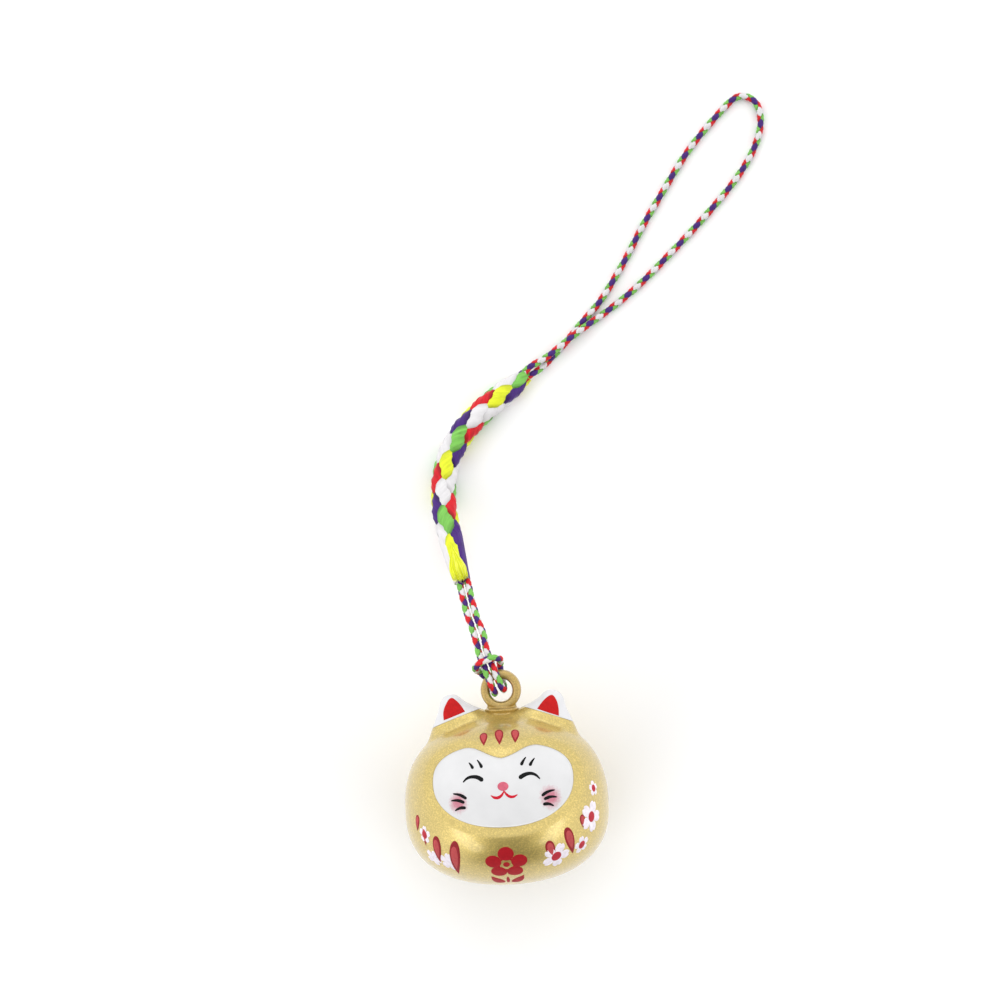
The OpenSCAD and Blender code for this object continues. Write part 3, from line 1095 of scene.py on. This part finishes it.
def fused(shapes):
    """One blended surface of overlapping closed shapes."""
    points, faces = joined(shapes)
    rough = bpy.data.meshes.new("rough")
    rough.from_pydata(points, [], faces)
    bm = bmesh.new()
    bm.from_mesh(rough)
    bmesh.ops.remove_doubles(bm, verts=bm.verts, dist=1e-5)
    bmesh.ops.recalc_face_normals(bm, faces=bm.faces)
    bm.to_mesh(rough)
    bm.free()
    holder = bpy.data.objects.new("rough", rough)
    bpy.context.scene.collection.objects.link(holder)
    remesh = holder.modifiers.new("remesh", "REMESH")
    remesh.mode = "VOXEL"
    remesh.voxel_size = FUSE_VOXEL
    smooth = holder.modifiers.new("smooth", "SMOOTH")
    smooth.iterations = FUSE_SMOOTHING
    done = bpy.data.meshes.new_from_object(holder.evaluated_get(bpy.context.evaluated_depsgraph_get()))
    points = coordinates(done.vertices)
    faces = [tuple(polygon.vertices) for polygon in done.polygons]
    bpy.data.objects.remove(holder)
    for used in (rough, done):
        bpy.data.meshes.remove(used)
    return points, faces


def add_ring():
    wall, wall_faces = turned(ring_section(), True)
    upright = wall[:, [0, 2, 1]] + (0, RING_LEVEL, 0)
    points, faces = fused([(upright, wall_faces), pedestal(), turned(COLLAR, False)])
    made = mesh_object("ring_and_collar", to_row(points), faces, [SHADED_RING_GOLD], crease=60)
    stand_in("hanger_ring")
    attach(made, "bell")


# The faint line round the pellet, as shares of its radius.
PELLET_LINE_DEPTH = 0.006
PELLET_LINE_HALF_W = 0.03


def add_pellet():
    """A rolled ball with the faint line where its two dies met."""
    low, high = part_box("clapper_pellet")
    radius = (high.x - low.x) / 2 / MM
    bm = bmesh.new()
    bmesh.ops.create_icosphere(bm, subdivisions=5, radius=1)
    directions = coordinates(bm.verts)
    faces = face_corners(bm)
    bm.free()
    line = np.exp(-((directions[:, 0] / PELLET_LINE_HALF_W) ** 2))
    sizes = radius * (1 - PELLET_LINE_DEPTH * line)
    points = directions * sizes[:, None] + (low + high) / 2 / MM
    made = mesh_object("pellet", points, faces, [steel_ball("pellet_steel")])
    stand_in("clapper_pellet")
    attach(made, "pellet")


add_ring()
add_pellet()


# ---- printed paint: thin raised layers on the shell, the face and the ears ----

RED_INK = print_ink("red_print", colour(166, 24, 34))
PINK_RED_INK = print_ink("pink_red_print", colour(182, 44, 58))
DARK_RED_INK = print_ink("dark_red_print", colour(146, 34, 42))
PALE_RED_INK = print_ink("pale_red_print", colour(186, 74, 76))
LINING_INK = print_ink("lining_print", colour(188, 20, 22))
PINK_INK = print_ink("pink_print", colour(204, 98, 118))
MOUTH_INK = print_ink("mouth_print", colour(198, 24, 44))
PETAL_INK = print_ink("petal_print", colour(238, 230, 238))
BLACK_INK = print_ink("black_print", colour(3, 5, 7))

# Rings of a print, as shares of the way from its middle to its outline, and how high each lies as a
# share of its lift. The last goes under the skin.
STAMP_SHARES = (0.35, 0.65, 0.85, 0.95, 1, 1)
STAMP_RISES = (1, 1, 0.95, 0.8, 0.45, -0.8)
# How far above a print's plane the search for the skin starts, and how far it goes.
SEARCH_ABOVE = 2.5
SEARCH_LENGTH = 6
# The widest that the drop's formula gets before it is scaled.
DROP_WIDEST = 0.77
# A petal's reach in the gap beside it, and the nick in its tip, as shares of its radius and width.
PETAL_GAP = 0.36
NICK_DEPTH = 0.11
NICK_HALF_W = 0.06


def skin_of(piece):
    """The surface of a finished piece, in the bell's own places, to lay prints on."""
    points = coordinates(piece.data.vertices) / MM - (0, WIDEST_Y, AXIS_Z)
    return BVHTree.FromPolygons(points.tolist(), [tuple(p.vertices) for p in piece.data.polygons])


def stamp(skin, place, up, outline, lift, facing=None):
    """A print from the middle of a flat outline of (across, up), laid on the skin at place.

    It is carried to the skin along facing, or square to the skin where facing is left out."""
    middle, square = skin.find_nearest(Vector(place))[:2]
    square = Vector(facing or square).normalized()
    up = Vector(up)
    up = (up - square * up.dot(square)).normalized()
    side = up.cross(square)

    def laid(u, v, rise):
        start = middle + side * u + up * v
        landed = skin.ray_cast(start + square * SEARCH_ABOVE, -square, SEARCH_LENGTH)[0] or start
        return tuple(landed + square * (lift * rise))

    points = [laid(0, 0, 1)]
    for share, rise in zip(STAMP_SHARES, STAMP_RISES):
        points += [laid(u * share, v * share, rise) for u, v in outline]
    points.append(laid(0, 0, STAMP_RISES[-1]))
    rings, count = len(STAMP_SHARES), len(outline)
    faces = ring_faces(rings, count, start=1)
    last = 1 + (rings - 1) * count
    for k in range(count):
        near = (k + 1) % count
        faces += [(0, 1 + k, 1 + near), (last + k, last + count, last + near)]
    return points, faces


def oval(width, height, count=40):
    a = full_turn(count)
    return [(width / 2 * x, height / 2 * y) for x, y in zip(np.cos(a), np.sin(a))]


def drop(width, height, count=48):
    """A drop with its round end up and its point down."""
    a = full_turn(count)
    x = np.sin(a) * np.sin(a / 2) / DROP_WIDEST
    return [(width / 2 * u, -height / 2 * v) for u, v in zip(x, np.cos(a))]


def plum(radius, turn, count=150):
    """Five petals with deep gaps between them and a nick in each tip."""
    a = full_turn(count)
    share = (a * 5 / (2 * math.pi) + 0.5) % 1 - 0.5
    petal = PETAL_GAP + (1 - PETAL_GAP) * np.abs(np.cos(math.pi * share)) ** 0.5
    reach = radius * (petal - NICK_DEPTH * np.exp(-((share / NICK_HALF_W) ** 2)))
    a = a + math.radians(turn)
    return list(zip(reach * np.sin(a), reach * np.cos(a)))


def rounded(corners, rounds=3):
    """A closed outline with its corners cut again and again. A corner given twice stays sharper."""
    p = np.array(corners, float)
    for _ in range(rounds):
        after = np.roll(p, -1, axis=0)
        p = np.stack([0.75 * p + 0.25 * after, 0.25 * p + 0.75 * after], 1).reshape(-1, 2)
    return p


def on_bell(x, h):
    return np.array([x, h, float(body_front(x, np.array(float(h)), 0))])


def add_print(name, shapes, material):
    points, faces = joined(shapes)
    made = mesh_object(name, to_row(points), faces, [material], crease=180)
    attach(made, "bell")


# Drops on the shell: top, point, width and lift.
DROPS = [
    ((-2.12, 9.88), (-2.05, 8.62), 0.95, 0.03),
    ((-0.27, 10.17), (-0.15, 8.70), 1.05, 0.03),
    ((1.70, 10.08), (1.71, 8.78), 1.0, 0.03),
    ((-10.54, 0.40), (-10.67, -1.57), 0.95, 0.03),
    ((-9.80, -0.90), (-9.72, -3.30), 0.9, 0.03),
    ((-8.41, -2.01), (-8.10, -5.39), 1.3, 0.06),
    ((-6.22, -2.73), (-6.04, -6.98), 1.45, 0.06),
    ((9.20, -0.25), (9.28, -1.85), 0.9, 0.03),
    ((7.40, -1.60), (8.00, -4.99), 1.3, 0.03),
    ((5.10, -2.90), (5.60, -5.20), 1.2, 0.03),
]
# The paler inside of a drop: where along the drop it starts and ends, its width as a share of the
# drop's, and how much higher it lies.
FILL_START = 0.1
FILL_END = 0.8
FILL_WIDTH = 0.68
FILL_LIFT = 0.025
# Blossoms on the shell: middle, radius, turn in degrees, and radius of the red centre.
BLOSSOMS = [
    ((-9.73, -1.87), 1.1, 10, 0.5),
    ((-8.80, -4.79), 1.25, 40, 0),
    ((-6.93, -5.18), 1.45, 20, 0),
    ((10.71, 2.52), 0.95, 0, 0.42),
    ((10.29, -0.75), 1.95, 20, 0.63),
    ((8.97, -3.96), 1.2, 50, 0.52),
    ((5.91, -4.90), 1.85, 12, 0.66),
]
BLOSSOM_LIFT = 0.045
CENTRE_LIFT = 0.075
# The belly's crest. Its top is at a height; the rest is measured down the belly from there.
CREST_TOP = -3.0
CREST_LIFT = 0.035
CREST_CENTRE = 2.74
CREST_EYE_W = 0.8
PETAL_RING = 1.62
PETAL_W = 1.9264
STAMEN_RING = 0.95
STAMEN_W = 0.3
STALK_DOWN = CREST_CENTRE + 3.7
STALK_SIZE = (0.4, 2.2)
LEAF_PLACE = (1.3, CREST_CENTRE + 3.6)
LEAF_SIZE = (1.3, 2.6)
LEAF_LEAN = 0.55


def laid_drop(skin, top, point, width, lift):
    a, b = on_bell(*top), on_bell(*point)
    middle = (a + b) / 2
    return stamp(skin, on_bell(*middle[:2]), a - b, drop(width, np.linalg.norm(a - b)), lift)


def laid_fill(skin, top, point, width, lift):
    """The paler inside of a drop, over the drop itself."""
    a, b = np.array(top), np.array(point)
    start, end = [a * (1 - share) + b * share for share in (FILL_START, FILL_END)]
    return laid_drop(skin, start, end, width * FILL_WIDTH, lift + FILL_LIFT)


def belly_place(across, down):
    """The point and the upward direction at that distance down the belly below the crest's top."""
    h = np.linspace(CREST_TOP, -LOWER_H + 0.02, 400)
    line = np.stack([h, body_front(0, h, 0)], 1)
    levels = np.interp([down, down + 0.1], run_length(line), h)
    place, lower = [on_bell(across, level) for level in levels]
    return place, place - lower


def crest(skin):
    """A plum-blossom crest: five petals about a centre with stamens, over two leaves and a stalk."""
    shapes = []

    def put(across, down, outline, turn=0.0):
        place, up = belly_place(across, down)
        turned_up = up * math.cos(turn) + np.cross(up, unit(place)) * math.sin(turn)
        shapes.append(stamp(skin, place, turned_up, outline, CREST_LIFT))

    def put_round(ring, angle, outline):
        put(ring * math.sin(angle), CREST_CENTRE - ring * math.cos(angle), outline)

    put(0, CREST_CENTRE, oval(CREST_EYE_W, CREST_EYE_W))
    for angle in full_turn(5):
        put_round(PETAL_RING, angle, oval(PETAL_W, PETAL_W))
        put_round(STAMEN_RING, angle + math.pi / 5, oval(STAMEN_W, STAMEN_W, 16))
    put(0, STALK_DOWN, oval(*STALK_SIZE, 24))
    for side in (-1, 1):
        put(side * LEAF_PLACE[0], LEAF_PLACE[1], drop(*LEAF_SIZE), math.pi + side * LEAF_LEAN)
    return shapes


def add_shell_prints():
    skin = skin_of(front_half)
    add_print("drops", [laid_drop(skin, *d) for d in DROPS], DARK_RED_INK)
    add_print("drop_fills", [laid_fill(skin, *d) for d in DROPS], PALE_RED_INK)
    petals, centres = [], []
    for place, radius, turn, centre_r in BLOSSOMS:
        at = on_bell(*place)
        petals.append(stamp(skin, at, (0, 1, 0), plum(radius, turn), BLOSSOM_LIFT))
        if centre_r:
            centres.append(stamp(skin, at, (0, 1, 0), oval(2 * centre_r, 2.1 * centre_r), CENTRE_LIFT))
    add_print("blossoms", petals, PETAL_INK)
    add_print("blossom_centres", centres, PINK_RED_INK)
    add_print("belly_crest", crest(skin), RED_INK)


def on_face(x, h, lift):
    return np.stack([x, h, body_front(x, h, FACE_RECESS) + lift], -1)


STROKE_SPREAD = 1.6
STROKE_LIFT = 0.03
STROKE_STEP = 0.05
# A stroke's domed section: places across it in half widths, and heights as shares of its lift.
STROKE_SECTION = ((-1, -1), (-0.85, 0.6), (-0.4, 0.95), (0.4, 0.95), (0.85, 0.6), (1, -1))


def stroke(points, widths):
    """A brush stroke on the face, tapered along its line, with round ends and a domed section."""
    line = spline(points, STROKE_STEP)
    arc = run_length(line)
    half = np.interp(arc / arc[-1], np.linspace(0, 1, len(widths)), widths) * STROKE_SPREAD / 2
    from_end = np.minimum(np.minimum(arc, arc[-1] - arc) / half, 1)
    half = half * np.sqrt(np.clip(1 - (1 - from_end) ** 2, 0.03, 1))
    along = tangents(line)
    across = np.stack([-along[:, 1], along[:, 0]], 1) * half[:, None]
    columns = []
    for offset, rise in STROKE_SECTION:
        place = line + across * offset
        columns.append(on_face(place[:, 0], place[:, 1], STROKE_LIFT * rise))
    return np.stack(columns, 1).reshape(-1, 3), tube_faces(len(line), len(columns))


# Strokes on the face: points, and widths from the first point to the last.
EYES = [
    [(-4.66, 4.48), (-4.15, 4.93), (-3.43, 5.11), (-2.75, 4.98), (-2.24, 4.64)],
    [(4.48, 4.47), (3.98, 4.98), (3.33, 5.19), (2.62, 5.06), (2.02, 4.73)],
]
EYE_WIDTHS = (0.1, 0.2, 0.26, 0.33, 0.36)
LASHES = [
    ((-3.91, 6.69), (-3.40, 6.00)),
    ((-2.90, 6.98), (-2.32, 6.09)),
    ((2.93, 7.04), (2.31, 6.16)),
    ((3.95, 6.85), (3.33, 6.03)),
]
LASH_WIDTHS = (0.08, 0.2, 0.3)
LASH_BOW = 0.08
WHISKERS = [
    ((-5.93, 3.16), (-4.29, 2.60)),
    ((-6.21, 2.34), (-4.56, 2.14)),
    ((-5.77, 1.18), (-4.42, 1.55)),
    ((6.17, 3.04), (4.59, 2.52)),
    ((6.37, 2.20), (4.83, 2.09)),
    ((5.96, 1.20), (4.69, 1.52)),
]
WHISKER_WIDTHS = (0.1, 0.2, 0.27, 0.24)
WHISKER_BOW = 0.16
MOUTH = [
    [(0.2, 3.42), (-0.08, 2.95), (-0.5, 2.67), (-0.95, 2.68), (-1.39, 2.96)],
    [(0.2, 3.42), (0.5, 2.97), (0.92, 2.7), (1.34, 2.7), (1.78, 2.92)],
]
MOUTH_WIDTHS = [(0.08, 0.19, 0.25, 0.22, 0.06), (0.08, 0.19, 0.23, 0.2, 0.06)]
NOSE = (0.1, 3.93)
NOSE_SIZE = (1.3, 1.07)
NOSE_LIFT = 0.06


def bowed(start, end, rise):
    """Three points from start to end with the middle raised."""
    middle = ((start[0] + end[0]) / 2, (start[1] + end[1]) / 2 + rise)
    return [start, middle, end]


def add_face_prints():
    black = [stroke(points, EYE_WIDTHS) for points in EYES]
    black += [stroke(bowed(a, b, LASH_BOW), LASH_WIDTHS) for a, b in LASHES]
    black += [stroke(bowed(a, b, WHISKER_BOW), WHISKER_WIDTHS) for a, b in WHISKERS]
    add_print("eyes_lashes_whiskers", black, BLACK_INK)
    add_print("mouth", [stroke(*half) for half in zip(MOUTH, MOUTH_WIDTHS)], MOUTH_INK)
    nose = stamp(skin_of(face_plate), on_face(*NOSE, 0), (0, 1, 0), oval(*NOSE_SIZE), NOSE_LIFT)
    add_print("nose", [nose], PINK_INK)


# Linings of the left and right ears; their lower corners are given twice.
LININGS = [
    [
        (-7.12, 11.12), (-7.12, 11.12), (-7.2, 12.2), (-6.55, 13.5), (-6.05, 13.85),
        (-5.55, 13.5), (-4.95, 12.85), (-4.46, 12.05), (-4.46, 12.05),
    ],
    [
        (4.36, 11.97), (4.36, 11.97), (5.1, 12.9), (5.85, 13.5), (6.4, 13.6), (6.85, 12.8),
        (7.0, 11.9), (6.97, 11.0), (6.97, 11.0),
    ],
]
LINING_LIFT = 0.03


def add_linings():
    for name, cap, corners in zip(("left_ear_lining", "right_ear_lining"), ear_caps, LININGS):
        outline = rounded(corners)
        middle = outline.mean(0)
        skin = skin_of(cap)
        place = skin.ray_cast(Vector((*middle, FAR)), Vector((0, 0, -1)))[0]
        flat = (outline - middle).tolist()
        shape = stamp(skin, place, (0, 1, 0), flat, LINING_LIFT, facing=(0, 0, 1))
        add_print(name, [shape], LINING_INK)


add_shell_prints()
add_face_prints()
add_linings()


# ---- floor and light ----

FLOOR_HALF = 3000


def add_floor():
    corners = [(x * FLOOR_HALF, y * FLOOR_HALF, 0) for x, y in ((-1, -1), (1, -1), (1, 1), (-1, 1))]
    mesh_object("floor", corners, [(0, 1, 2, 3)], [white_table("white_floor")])


def add_softbox(name, place, size, power):
    """A rectangular soft light aimed at the bell."""
    data = bpy.data.lights.new(name, "AREA")
    data.shape = "RECTANGLE"
    data.size, data.size_y = [s * MM for s in size]
    data.energy = power
    made = bpy.data.objects.new(name, data)
    made.location = [c * MM for c in place]
    aim = Vector((0, 0, AXIS_Z)) * MM - made.location
    made.rotation_euler = aim.to_track_quat("-Z", "Y").to_euler()
    bpy.context.scene.collection.objects.link(made)


# Where the tent is dark, as a direction from the bell, and the cosines of the angles from it at which
# the light is at its full and at its dim strength.
DARK_SIDE = (0.05, -0.81, 0.58)
DARK_EDGES = (0.6, 0.93)
TENT_FULL = 1.3
TENT_DIM = 0.05


def add_world():
    """A light tent: white walls all round with a dark opening in front, above the bell's lower end."""
    world = bpy.data.worlds.new("studio")
    world.use_nodes = True
    tree = world.node_tree
    direction = tree.nodes.new("ShaderNodeTexCoord").outputs["Generated"]
    ends = {0: direction, 1: DARK_SIDE}
    toward = node(tree, "VectorMath", ends, "Value", operation="DOT_PRODUCT")
    strength = mapped(
        tree, toward, *DARK_EDGES, TENT_FULL, TENT_DIM, interpolation_type="SMOOTHSTEP"
    )
    fill(tree.nodes["Background"], {"Strength": strength, "Color": (1, 1, 1, 1)})
    bpy.context.scene.world = world


def add_lights():
    add_world()
    add_softbox("left_box", (-330, -240, 300), (360, 150), 0.42)
    add_softbox("right_box", (360, -200, 260), (310, 150), 0.32)
    add_softbox("back_box", (0, 420, 330), (500, 200), 0.25)


add_floor()
add_lights()
bpy.context.scene.view_settings.view_transform = "Standard"
